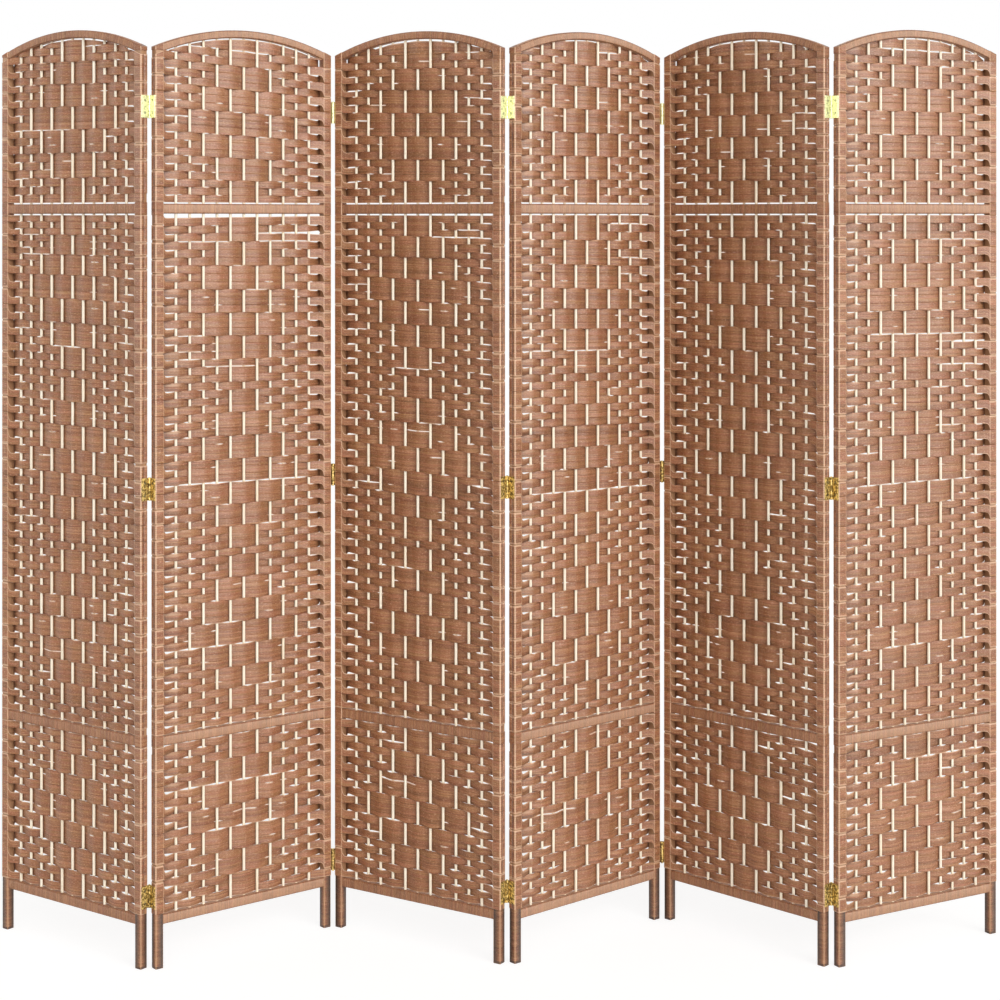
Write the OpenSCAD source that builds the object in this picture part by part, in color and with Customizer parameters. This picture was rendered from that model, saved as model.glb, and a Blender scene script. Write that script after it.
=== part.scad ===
// A six-panel folding screen: pale wood frames wound with brown paper rope, woven over upright rods,
// and joined by brass butt hinges that let each pair of panels fold flat together.

/* [Panels] */
// Width of one panel over its wound posts
panel_w = 400; // [340:5:460]
// Height of the outer top corners of a panel above the floor
post_top = 1760; // [1650:5:1850]
// Rise of the top arch above the outer corners
arch_rise = 40; // [25:1:60]

/* [Folds] */
// Angle of panel 1 to the line of the screen
fold_1 = 36.5; // [20:0.5:50]
// Angle of panel 2 to the line of the screen
fold_2 = 38; // [20:0.5:50]
// Angle of panel 3 to the line of the screen
fold_3 = 33; // [20:0.5:50]
// Angle of panel 4 to the line of the screen
fold_4 = 41.5; // [20:0.5:50]
// Angle of panel 5 to the line of the screen
fold_5 = 44.5; // [20:0.5:50]
// Angle of panel 6 to the line of the screen
fold_6 = 29.5; // [20:0.5:50]

/* [Posts] */
// Side of the square wood post
post_core = 16; // [14:0.5:20]
// Radius of the post's long edges
post_round = 1; // [0.5:0.25:4]
// Bare wood left at the foot of each post, below its winding
bare_foot = 2; // [1:0.5:6]

/* [Paper rope] */
// Thickness of one layer of flattened paper rope
rope_t = 1.2; // [0.8:0.1:1.8]

/* [Rails] */
// Height of the wood rail
rail_h = 17; // [12:0.5:22]
// Depth of the wood rail, front to back
rail_d = 13; // [10:0.5:14]
// Clear height of the legs under the wound bottom rail
leg_h = 83; // [60:1:120]
// Height of the lower rail's middle above the floor
lower_rail_z = 433; // [350:1:520]
// Distance of the upper rail's middle below the outer top corners
upper_rail_drop = 310; // [240:1:380]
// Length of the tenon at each end of a rail or arch
tenon_l = 6; // [4:0.5:8]
// Height of the tenon
tenon_h = 9; // [6:0.5:10]
// Depth of the tenon, front to back
tenon_d = 7; // [5:0.5:8]

/* [Arch] */
// Height of the wood arch, square to its curve
arch_h = 13; // [11:0.5:18]
// Depth of the wood arch, front to back
arch_d = 13.5; // [10:0.5:14]

/* [Rods] */
// Number of upright rods in a panel
rod_count = 11; // [7:2:13]
// Diameter of a rod
rod_d = 5.5; // [4:0.25:6.5]
// Depth of the rod's blind seats in the bottom rail and the arch
rod_seat = 6; // [4:0.5:8]

/* [Hinges] */
// Height of the low hinge's middle above the floor
hinge_low_z = 136; // [125:1:200]
// Height of the middle hinge's middle above the floor
hinge_mid_z = 914; // [800:1:1000]
// Distance of the top hinge's middle below the outer top corners
hinge_top_drop = 115; // [60:1:160]
// Height of a hinge leaf
leaf_h = 43; // [34:1:56]
// Width of a hinge leaf on the post, from the panel's face
leaf_w = 17; // [10:0.5:17]
// Thickness of a hinge leaf
leaf_t = 1.2; // [0.8:0.1:1.6]
// Space between two wound posts when their panels stand in line
hinge_gap = 3.2; // [2.8:0.1:5]
// Outer diameter of the hinge knuckles
knuckle_d = 4.6; // [4.4:0.2:7]
// Clearance of the knuckles from the panel's face
knuckle_clear = 0.4; // [0.3:0.1:1]
// Gap between two knuckles along the pin
knuckle_gap = 0.25; // [0.15:0.05:0.5]
// Diameter of the hinge pin
pin_d = 2.4; // [2:0.1:3.2]
// Diameter of the pin's two riveted heads
pin_head_d = 3.8; // [3.4:0.1:5]
// Thickness of the pin's heads
pin_head_t = 0.8; // [0.5:0.1:1.5]

/* [Screws] */
// Diameter of a screw's shank
screw_d = 2.8; // [2.2:0.1:3.2]
// Diameter of a screw's countersunk head
screw_head_d = 5.2; // [4.4:0.2:6]
// Length of a screw, head included
screw_l = 12; // [9:0.5:15]
// Height between the two screws of a leaf
screw_spread = 24; // [18:1:26]
// Width of the slots of the cross recess
recess_w = 0.6; // [0.4:0.1:0.8]
// Length of the slots of the cross recess
recess_l = 3; // [2:0.2:3.6]
// Depth of the cross recess
recess_depth = 0.5; // [0.3:0.1:0.8]

/* [Fits] */
// Clearance round a piece that is seated in another
fit = 0.05; // [0.03:0.01:0.1]

/* [Hidden] */
$fn = 48;
ARC_FN = 360;
PANELS = 6;
KNUCKLES = 5;
EPS = 1;
ROPE = [0.54, 0.37, 0.28];
WOOD = [0.88, 0.77, 0.6];
BRASS = [0.78, 0.62, 0.3];

folds = [fold_1, fold_2, fold_3, fold_4, fold_5, fold_6];

// Wound sizes: the wood plus a layer of rope on each side
post_t = post_core + 2 * rope_t;
wound_rail_h = rail_h + 2 * rope_t;
wound_rail_d = rail_d + 2 * rope_t;
wound_arch_h = arch_h + 2 * rope_t;
wound_arch_d = arch_d + 2 * rope_t;
sheet_t = rod_d + 2 * rope_t;
wound_round = post_round + rope_t;
inner_w = panel_w - 2 * post_t;

// Arch: one circle through the two outer top corners and the crown
arch_r = (pow(panel_w / 2, 2) + pow(arch_rise, 2)) / (2 * arch_rise);
arch_z = post_top + arch_rise - arch_r;

// Middle heights of the three rails
bottom_rail_z = leg_h + wound_rail_h / 2;
upper_rail_z = post_top - upper_rail_drop;
rail_heights = [bottom_rail_z, lower_rail_z, upper_rail_z];

rod_pitch = inner_w / (rod_count + 1);
rod_foot = bottom_rail_z + rail_h / 2 - rod_seat;

hinge_heights = [hinge_low_z, hinge_mid_z, post_top - hinge_top_drop];
knuckle_r = knuckle_d / 2;
knuckle_h = (leaf_h - (KNUCKLES - 1) * knuckle_gap) / KNUCKLES;
pin_off = knuckle_r + knuckle_clear;
leaf_relief = sqrt(pow(knuckle_r + knuckle_clear, 2) - pow(hinge_gap / 2 - leaf_t, 2));

// Plan of the screen. Panels 1, 3 and 5 run towards the front and the others run back. A joint that
// points to the front has its pin behind the panels, and a joint that points back has it in front.
function turn(n) = (n % 2 == 1 ? -1 : 1) * folds[n - 1];
function along(n) = [cos(turn(n)), sin(turn(n))];
function behind(n) = [-sin(turn(n)), cos(turn(n))];
function pin_side(joint) = joint % 2 == 1 ? 1 : -1;
function pin_off_mid(joint) = pin_side(joint) * (post_t / 2 + pin_off);
function pin_from(joint, start) = start + along(joint) * (panel_w + hinge_gap / 2)
    + behind(joint) * pin_off_mid(joint);
function start_of(n) = n == 1 ? [0, 0]
    : pin_from(n - 1, start_of(n - 1)) + along(n) * hinge_gap / 2 - behind(n) * pin_off_mid(n - 1);

// Middles of the rounded outer edges, which set the ends of the plan
edge_in = post_t / 2 - wound_round;
edges = [for (n = [1:PANELS], u = [wound_round, panel_w - wound_round], v = [-edge_in, edge_in])
    start_of(n) + along(n) * u + behind(n) * v];
plan_low = [min([for (e = edges) e[0]]), min([for (e = edges) e[1]])];
plan_high = [max([for (e = edges) e[0]]), max([for (e = edges) e[1]])];
plan_mid = (plan_low + plan_high) / 2;

// Puts a panel, drawn with its left edge at the origin and its length along X, in its place
module at_panel(n) {
    start = start_of(n) - plan_mid;
    translate([start[0], start[1], 0]) rotate([0, 0, turn(n)]) children();
}

// Puts what is drawn round a hinge pin beside the right or left post, at each hinge's height. There,
// the post's side face is square to X at -hinge_gap / 2, and the panel's face is at Y = -pin_off.
module at_hinges(right, side) {
    for (z = hinge_heights)
        translate([right ? panel_w + hinge_gap / 2 : -hinge_gap / 2, side * (post_t / 2 + pin_off), z])
            mirror([right ? 0 : 1, 0, 0])
                mirror([0, side > 0 ? 0 : 1, 0])
                    children();
}

// The same, for both edges of panel n, where it has a neighbour
module at_all_hinges(n) {
    if (n < PANELS) at_hinges(true, pin_side(n)) children();
    if (n > 1) at_hinges(false, pin_side(n - 1)) children();
}

// A square with round corners, centred on the origin
module round_square(side, r) {
    square([side, side - 2 * r], center = true);
    square([side - 2 * r, side], center = true);
    for (x = [-1, 1], y = [-1, 1])
        translate([x * (side / 2 - r), y * (side / 2 - r)]) circle(r);
}

// An outline in the panel's plane, made as thick as depth about the panel's middle
module upright(depth) {
    rotate([90, 0, 0]) linear_extrude(depth, center = true) children();
}

// Everything under the arch's outer curve, or under a curve as far inside it as drop
module under_arch(drop) {
    translate([panel_w / 2, arch_z]) {
        circle(arch_r - drop, $fn = ARC_FN);
        translate([drop - arch_r, -post_top]) square([2 * (arch_r - drop), post_top]);
    }
}

// The ring between two depths inside the arch's outer curve, from one X to another
module arch_band(outer, inner, from, to) {
    intersection() {
        difference() {
            under_arch(outer);
            under_arch(inner);
        }
        translate([from, post_top - panel_w / 4]) square([to - from, panel_w]);
    }
}

// The upright prism of a post, from a height up to the arch's curve
module post_prism(right, side, r, foot, drop) {
    intersection() {
        translate([right ? panel_w - post_t / 2 : post_t / 2, 0, foot])
            linear_extrude(post_top + arch_rise - foot) round_square(side, r);
        upright(2 * post_t) under_arch(drop);
    }
}

module post_core_prism(right, grow) {
    post_prism(right, post_core + 2 * grow, post_round + grow, -grow, rope_t - grow);
}

// A rail's wood with its two tenons, grown by the clearance where it is cut from another piece
module rail_wood(z, grow) {
    translate([panel_w / 2, 0, z]) {
        cube([panel_w - 2 * (post_core + rope_t), rail_d + 2 * grow, rail_h + 2 * grow], center = true);
        cube([panel_w - 2 * (post_core + rope_t - tenon_l - grow), tenon_d + 2 * grow, tenon_h + 2 * grow],
            center = true);
    }
}

// The arch's wood with its two tenons
module arch_wood(grow) {
    shoulder = post_core + rope_t;
    mid = rope_t + arch_h / 2;
    upright(arch_d + 2 * grow)
        arch_band(rope_t - grow, rope_t + arch_h + grow, shoulder, panel_w - shoulder);
    upright(tenon_d + 2 * grow)
        arch_band(mid - tenon_h / 2 - grow, mid + tenon_h / 2 + grow,
            shoulder - tenon_l - grow, panel_w - shoulder + tenon_l + grow);
}

// How high the arch's wood starts above a rod
function arch_under(x) = arch_z + sqrt(pow(arch_r - rope_t - arch_h, 2) - pow(x - panel_w / 2, 2));

module rod_set(grow) {
    for (i = [1:rod_count]) {
        x = post_t + i * rod_pitch;
        translate([x, 0, rod_foot - grow])
            cylinder(h = arch_under(x) + rod_seat - rod_foot + 2 * grow, d = rod_d + 2 * grow);
    }
}

// A countersunk screw in a hinge leaf, drawn in the leaf's own place
module leaf_screws(grow) {
    head_h = (screw_head_d - screw_d) / 2;
    for (z = [-1, 1] * screw_spread / 2)
        translate([-hinge_gap / 2 + leaf_t, -pin_off - leaf_w / 2, z])
            rotate([0, -90, 0]) {
                cylinder(h = head_h + grow, d1 = screw_head_d + 2 * grow, d2 = screw_d);
                cylinder(h = screw_l + grow, d = screw_d + 2 * grow);
            }
}

module cross_recess() {
    for (z = [-1, 1] * screw_spread / 2)
        translate([-hinge_gap / 2 + leaf_t, -pin_off - leaf_w / 2, z]) {
            cube([2 * recess_depth, recess_w, recess_l], center = true);
            cube([2 * recess_depth, recess_l, recess_w], center = true);
        }
}

module post(n, right) {
    color(WOOD) difference() {
        post_core_prism(right, 0);
        for (z = rail_heights) rail_wood(z, fit);
        arch_wood(fit);
        at_all_hinges(n) leaf_screws(fit);
    }
}

module top_arch() {
    color(WOOD) difference() {
        arch_wood(0);
        rod_set(fit);
    }
}

module rails() {
    color(WOOD) difference() {
        for (z = rail_heights) rail_wood(z, 0);
        rod_set(fit);
    }
}

module rods() {
    color(WOOD) rod_set(0);
}

// The woven sheet between the posts, in one piece with the strands that turn round the posts
module woven_sheet(n) {
    difference() {
        union() {
            upright(sheet_t) difference() {
                intersection() {
                    translate([post_t / 2, leg_h + wound_rail_h]) square([panel_w - post_t, post_top]);
                    under_arch(wound_arch_h);
                }
                for (z = [lower_rail_z, upper_rail_z])
                    translate([panel_w / 2, z]) square([panel_w, wound_rail_h], center = true);
            }
            for (right = [false, true]) post_prism(right, post_t, wound_round, leg_h, 0);
        }
        for (right = [false, true]) post_core_prism(right, fit);
        for (z = rail_heights) rail_wood(z, fit);
        arch_wood(fit);
        rod_set(fit);
        at_all_hinges(n) leaf_screws(fit);
    }
}

// The windings of the rails, the arch and the legs are separate lengths of rope, so each ends a
// clearance short of the woven sheet and the posts' winding
module rail_winding(z) {
    difference() {
        translate([panel_w / 2, 0, z])
            cube([inner_w - 2 * fit, wound_rail_d, wound_rail_h - 2 * fit], center = true);
        rail_wood(z, fit);
        rod_set(fit);
    }
}

module arch_winding() {
    difference() {
        upright(wound_arch_d) arch_band(0, wound_arch_h - fit, post_t + fit, panel_w - post_t - fit);
        arch_wood(fit);
        rod_set(fit);
    }
}

module leg_winding(right) {
    difference() {
        translate([right ? panel_w - post_t / 2 : post_t / 2, 0, bare_foot])
            linear_extrude(leg_h - bare_foot - fit) round_square(post_t, wound_round);
        post_core_prism(right, fit);
    }
}

module weave(n) {
    color(ROPE) {
        woven_sheet(n);
        for (z = rail_heights) rail_winding(z);
        arch_winding();
        for (right = [false, true]) leg_winding(right);
    }
}

// One leaf with its own knuckles, counted from the bottom: the even ones or the odd ones
module leaf(odd) {
    foot = -pin_off - leaf_w;
    difference() {
        union() {
            translate([-hinge_gap / 2, foot, -leaf_h / 2]) cube([leaf_t, -leaf_relief - foot, leaf_h]);
            for (k = [odd ? 1 : 0 : 2 : KNUCKLES - 1])
                translate([0, 0, -leaf_h / 2 + k * (knuckle_h + knuckle_gap)])
                    linear_extrude(knuckle_h) {
                        circle(knuckle_r);
                        translate([-hinge_gap / 2, -leaf_relief - EPS]) square([leaf_t, leaf_relief + EPS]);
                    }
        }
        translate([0, 0, -leaf_h / 2 - EPS]) cylinder(h = leaf_h + 2 * EPS, d = pin_d + 2 * fit);
        leaf_screws(fit);
    }
}

module left_leaves(j) {
    color(BRASS) at_hinges(true, pin_side(j)) leaf(false);
}

module right_leaves(j) {
    color(BRASS) at_hinges(false, pin_side(j)) leaf(true);
}

// Hinge pins, riveted over the two end knuckles
module pins(j) {
    color(BRASS) at_hinges(true, pin_side(j)) {
        cylinder(h = leaf_h + 2 * pin_head_t, d = pin_d, center = true);
        for (z = [-1, 1] * (leaf_h + pin_head_t) / 2)
            translate([0, 0, z]) cylinder(h = pin_head_t, d = pin_head_d, center = true);
    }
}

module hinge_screws(n) {
    color(BRASS) at_all_hinges(n) difference() {
        leaf_screws(0);
        cross_recess();
    }
}

for (n = [1:PANELS]) at_panel(n) {
    post(n, false);
    post(n, true);
    top_arch();
    rails();
    rods();
    weave(n);
    hinge_screws(n);
}
for (j = [1:PANELS - 1]) {
    at_panel(j) left_leaves(j);
    at_panel(j + 1) right_leaves(j);
    at_panel(j) pins(j);
}
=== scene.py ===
import math

import bpy
import numpy as np
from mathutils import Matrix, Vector


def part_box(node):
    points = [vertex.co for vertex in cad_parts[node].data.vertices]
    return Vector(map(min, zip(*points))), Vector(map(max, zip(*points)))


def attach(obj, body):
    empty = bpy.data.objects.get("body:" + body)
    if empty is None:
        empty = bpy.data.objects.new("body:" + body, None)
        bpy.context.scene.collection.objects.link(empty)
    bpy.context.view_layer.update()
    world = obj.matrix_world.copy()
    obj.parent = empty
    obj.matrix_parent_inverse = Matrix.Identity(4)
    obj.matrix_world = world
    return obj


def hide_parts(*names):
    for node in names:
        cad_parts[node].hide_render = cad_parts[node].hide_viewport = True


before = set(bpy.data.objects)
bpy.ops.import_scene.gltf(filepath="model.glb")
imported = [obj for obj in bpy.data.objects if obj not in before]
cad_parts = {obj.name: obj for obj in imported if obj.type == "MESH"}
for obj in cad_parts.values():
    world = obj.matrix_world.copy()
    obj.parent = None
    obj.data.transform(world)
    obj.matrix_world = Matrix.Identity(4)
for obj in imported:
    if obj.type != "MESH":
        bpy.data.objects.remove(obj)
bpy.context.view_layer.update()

# Lengths are in millimetres up to the last step, and those of the CAD model are as part.scad has them
MM = 0.001
PANELS = 6
PANEL_W = 400.0
POST_T = 18.4
ROPE_T = 1.2
CORE_HALF = 8.0
CORE_ROUND = 1.0
POST_TOP = 1760.0
ARCH_RISE = 40.0
ARCH_R = ((PANEL_W / 2) ** 2 + ARCH_RISE ** 2) / (2 * ARCH_RISE)
ARCH_Z = POST_TOP + ARCH_RISE - ARCH_R
WOUND_ARCH = (15.4, 15.9)
WOUND_RAIL = (19.4, 15.4)
RAIL_HEIGHTS = (92.7, 433.0, 1450.0)
FOOT_GAP = 0.4
RODS = 11
ROD_R = 2.75
ROD_PITCH = (PANEL_W - 2 * POST_T) / (RODS + 1)

# The weave: rows of one band each, a band of several flattened strands. Half thicknesses of a band on a
# strand, between two strands and at its edges
STRANDS = 7
STRAND_HALF = 0.6
VALLEY_HALF = 0.42
EDGE_HALF = 0.34
# How much a strand waves, as a share of its height, and how much thinner it gets in places
STRAND_WAVE = 0.16
STRAND_THINNER = 0.14
# Each band begins somewhere in this many millimetres of rope
BAND_START = 500
# Gaps between the rows and a rail: the usual one, and the wider one at the upper rail
RAIL_GAP = 1.5
WIDE_RAIL_GAP = 2.6
TOP_ROW_Z = 1778.9
# How many rods to each side of the middle one belong to a diamond, in each of its rows of blocks
DIAMOND_REACH = (1, 2, 3, 4, 3, 2, 1)
BLOCK_ROWS = 3
DIAMOND_ROWS = BLOCK_ROWS * len(DIAMOND_REACH)

# Wear is above 0 where the paper is bent or frayed pale or carries a painted highlight, and below 0 where
# it is painted darker: painted shade in crevices, pockets and on the sides of legs and bars, and darker
# feet. Here the pale, from bent paper and a painted highlight, at the start, middle and end of a post's
# outer corner, and at its inner corner
CORNER_WEAR_AND_HIGHLIGHT = (0.65, 1.4, 0.60, 0.9)
# At an open edge of a band and one step in from it, pale as frayed paper and as painted light from the
# slit, and the slit's height from which it is all there
EDGE_WEAR_AND_LIGHT = (1.4, 0.7)
EDGE_OPEN = 0.8
# Painted shade: how much darker a band is against a rod, and in the pocket beside a post. The pocket
# starts that far from the panel's middle, and its shade grows over so much more
TUCK_SHADE = 0.62
POCKET_SHADE = 0.8
POCKET_FROM = 3.5
POCKET_GROWS = 4
# Painted highlight and shade on the bands beside the folds that point to the front, on the even panels
# that face the key light: their value at these shares of the way down a band, pale above and dark below,
# and how much it differs from band to band
TURN_LIGHT_AT = (0.0, 0.3, 0.5, 0.8)
TURN_LIGHT = (0.31, 0.62, 0.0, -0.38)
TURN_LIGHT_SPREAD = (0.3, 1.4)
# Round a leg, the share of the way from the tone of the faces to that of the corners, a painted highlight
# and painted shade that make the square leg look round: on its four corners, and on their shoulders where
# the flat faces begin. Whether the panel's number is odd or even says which corners point to the front and
# back, which take the highlight, while the corners at the sides take the shade
LEG_CORNERS = ((0.9, -0.5, 0.9, -0.5), (-0.5, 0.9, -0.5, 0.9))
LEG_SHOULDERS = ((0.2, -0.42, 0.2, -0.42), (-0.42, 0.2, -0.42, 0.2))
# The pale of the corners' painted highlight, and the darker tone of the legs' flat faces
LEG_HIGHLIGHT = 0.7
LEG_FACE = -0.55
# The foot is darker over this many rings
FOOT_DARKER = -0.95
FOOT_RINGS = 7
# On the faces of the rails and the arch of odd and of even panels, a painted highlight that is stronger on
# the even panels, which face the key light, and painted shade on their corners
BAR_FACE_HIGHLIGHT = {1: 0.2, 0: 0.56}
RAIL_CORNER_SHADE = -0.2
ARCH_CORNER_SHADE = -0.35

SEED = 1370


def arch_curve(u, drop):
    """Height of a curve that lies drop inside the arch's outer one, at u along the panel"""
    reach = (ARCH_R - drop) ** 2 - (np.asarray(u, float) - PANEL_W / 2) ** 2
    return ARCH_Z + np.sqrt(np.maximum(reach, 0.0))


def panel_frame(n):
    """Start of panel n's left edge and its direction in plan, from its two posts"""
    middles = [np.array(sum(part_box(f"panel_{n}_{side}_post"), start=Vector((0, 0, 0))))[:2] / 2 / MM
               for side in ("left", "right")]
    along = (middles[1] - middles[0]) / np.linalg.norm(middles[1] - middles[0])
    return middles[0] - along * POST_T / 2, along


def in_world(n, u, v, z):
    """Points given along, behind and above panel n, as an array of places in metres"""
    start, along = panel_frame(n)
    x = start[0] + along[0] * u - along[1] * v
    y = start[1] + along[1] * u + along[0] * v
    return np.stack([x, y, np.broadcast_to(z, x.shape)], -1).reshape(-1, 3) * MM


def smooth_noise(rng, shape, knots):
    """Noise of about -1 to 1 that runs smoothly along the last axis of shape, through that many knots"""
    coarse = rng.uniform(-1, 1, shape[:-1] + (knots,))
    at = np.linspace(0, knots - 1, shape[-1])
    low = np.minimum(at.astype(int), knots - 2)
    t = at - low
    t = t * t * (3 - 2 * t)
    return coarse[..., low] * (1 - t) + coarse[..., low + 1] * t


def make_mesh(name, points, quads, along, across, wear_and_light):
    """A mesh with the values that the rope's material reads: millimetres along the rope, the strand's
    number and the share of the way across it, and the wear and painted light"""
    mesh = bpy.data.meshes.new(name)
    mesh.vertices.add(len(points))
    mesh.vertices.foreach_set("co", points.astype(np.float32).ravel())
    mesh.loops.add(4 * len(quads))
    mesh.loops.foreach_set("vertex_index", quads.astype(np.int32).ravel())
    mesh.polygons.add(len(quads))
    mesh.polygons.foreach_set("loop_start", np.arange(0, 4 * len(quads), 4, dtype=np.int32))
    mesh.polygons.foreach_set("use_smooth", np.ones(len(quads), bool))
    for label, values in (("along", along), ("across", across), ("wear_and_light", wear_and_light)):
        attribute = mesh.attributes.new(label, "FLOAT", "POINT")
        attribute.data.foreach_set("value", values.astype(np.float32).ravel())
    mesh.update(calc_edges=True)
    mesh.validate()
    piece = bpy.data.objects.new(name, mesh)
    bpy.context.scene.collection.objects.link(piece)
    return piece


# ---- The woven rows ----

def post_stations():
    """Stations round the left post from the middle of its outer face to its inner corner: place from
    the post's middle, for a band that passes on the side of +v, and the pale of a bent corner there,
    from wear and a painted highlight"""
    flat = CORE_HALF + ROPE_T / 2
    corner = CORE_HALF - CORE_ROUND
    r = flat - corner
    # How far before and behind the outer corner the flat faces have a station of their own
    before = 1.5
    start, middle, end, inner = CORNER_WEAR_AND_HIGHLIGHT
    arc = lambda a: (corner + r * math.sin(math.radians(a)), corner + r * math.cos(math.radians(a)))
    mid, last = arc(45), arc(35)
    return [(-flat, 0.0, 0.0), (-flat, corner - before, 0.0), (-flat, corner, start),
            (-mid[0], mid[1], middle), (-corner, flat, end), (-corner + before, flat, 0.0),
            (corner, flat, 0.0), (last[0], last[1], inner)]


class Stations:
    """The places along a row where each band has a cross-section, the same for every row"""
    # Shares of the free span from the post to the first rod, how far the band is still fanned out there,
    # and the power by which it eases from the post's side of the panel to the rod's
    span_steps = (0.07, 0.16, 0.34, 0.55, 0.80)
    span_fans = (0.35, 0.08, 0.0, 0.0, 0.0)
    span_ease = 1.05
    # Shares of the way from one rod to the next, and of the way through from one side to the other there
    rod_steps = (0.22, 0.5, 0.78)
    rod_shares = (0.05, 0.5, 0.95)
    # How much of the painted highlight and shade of the turns reaches each station, from the post's inner
    # corner to the second rod
    turn_light_steps = (0.4, 0.9, 1.0, 1.0, 1.0, 0.9, 0.6, 0.3, 0.1)
    # How much a band is tucked away before, at and after a rod, and so how much painted shade it takes there
    tucked_steps = (0.25, 1.0, 0.25)

    def __init__(self):
        post = post_stations()
        self.post = len(post)
        rods = [POST_T + ROD_PITCH * (i + 1) for i in range(RODS)]
        corner = POST_T / 2 + post[-1][0]
        u = [POST_T / 2 + p[0] for p in post]
        u += [corner + (rods[0] - corner) * t for t in self.span_steps]
        self.rod_at = []
        for i, x in enumerate(rods):
            self.rod_at.append(len(u))
            u.append(x)
            if i < RODS - 1:
                u += [x + ROD_PITCH * t for t in self.rod_steps]
        u += [PANEL_W - x for x in u[:self.post + len(self.span_steps)]][::-1]
        self.u = np.array(u)
        self.count = len(u)
        self.fan_left = np.zeros(self.count)
        self.fan_left[:self.post] = 1.0
        self.fan_left[self.post:self.post + len(self.span_fans)] = self.span_fans
        self.fan_right = self.fan_left[::-1]
        self.wear_and_light = np.zeros(self.count)
        self.wear_and_light[:self.post] = [p[2] for p in post]
        self.wear_and_light = np.maximum(self.wear_and_light, self.wear_and_light[::-1])
        self.tucked = np.zeros(self.count)
        for at in self.rod_at:
            self.tucked[at - 1:at + 2] = np.maximum(self.tucked[at - 1:at + 2], self.tucked_steps)
        self.turn_light = np.zeros(self.count)
        self.turn_light[self.post:self.post + len(self.turn_light_steps)] = self.turn_light_steps
        inner = self.u[self.post - 1]
        beside = 0.5 + 0.5 * (rods[0] - self.u) / (rods[0] - inner)
        self.near_left = np.clip(np.where(self.u > rods[0] + 0.1, 0, beside), 0, 1)
        self.near_right = self.near_left[::-1]

    def depths(self, sides):
        """How far behind the panel's middle each station of each row lies. sides gives, for each row,
        -1 in front or 1 behind at the left post, each rod and the right post"""
        off = ROD_R + STRAND_HALF
        v = np.zeros((len(sides), self.count))
        post = post_stations()
        for flip, side, rod in ((False, sides[:, 0], sides[:, 1]), (True, sides[:, -1], sides[:, -2])):
            row = np.zeros((len(sides), self.count))
            for k, p in enumerate(post):
                row[:, k] = p[1] * side
            for k, t in enumerate(self.span_steps):
                ease = (1 - t) ** self.span_ease
                row[:, self.post + k] = off * rod + (post[-1][1] * side - off * rod) * ease
            v += row[:, ::-1] if flip else row
        for i in range(RODS):
            here = off * sides[:, 1 + i]
            v[:, self.rod_at[i]] = here
            if i < RODS - 1:
                there = off * sides[:, 2 + i]
                for k, share in enumerate(self.rod_shares):
                    v[:, self.rod_at[i] + 1 + k] = here + (there - here) * share
        return v


STATIONS = Stations()


def row_sides(rows, diamonds, label):
    """-1 in front or 1 behind for each row at the left post, the rods and the right post"""
    at = np.arange(RODS + 2)
    sides = np.where((at[None, :] + np.arange(rows)[:, None]) % 2 == 0, -1.0, 1.0)
    if label == "top":
        sides[0, [2, RODS - 1]] = 1.0
    middle = (RODS + 1) // 2
    for first in diamonds:
        for tall, reach in enumerate(DIAMOND_REACH):
            sides[first + BLOCK_ROWS * tall + 1, middle - reach:middle + reach + 1] *= -1
    return sides


# The three woven sections: their bottom and top, how many rows they have, the rows at which diamonds start,
# and the first row, from the top, that turns round the posts
SECTIONS = {
    "low": dict(bottom=RAIL_HEIGHTS[0] + WOUND_RAIL[0] / 2 + RAIL_GAP,
                top=RAIL_HEIGHTS[1] - WOUND_RAIL[0] / 2 - RAIL_GAP,
                rows=DIAMOND_ROWS, diamonds=(0,), first_wrap=0),
    "middle": dict(bottom=RAIL_HEIGHTS[1] + WOUND_RAIL[0] / 2 + RAIL_GAP,
                   top=RAIL_HEIGHTS[2] - WOUND_RAIL[0] / 2 - WIDE_RAIL_GAP,
                   rows=3 * DIAMOND_ROWS + 4, diamonds=(0, DIAMOND_ROWS + 1, 2 * DIAMOND_ROWS + 2),
                   first_wrap=0),
    "top": dict(bottom=RAIL_HEIGHTS[2] + WOUND_RAIL[0] / 2 + WIDE_RAIL_GAP, top=TOP_ROW_Z,
                rows=DIAMOND_ROWS, diamonds=(0,), first_wrap=2),
}
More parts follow.
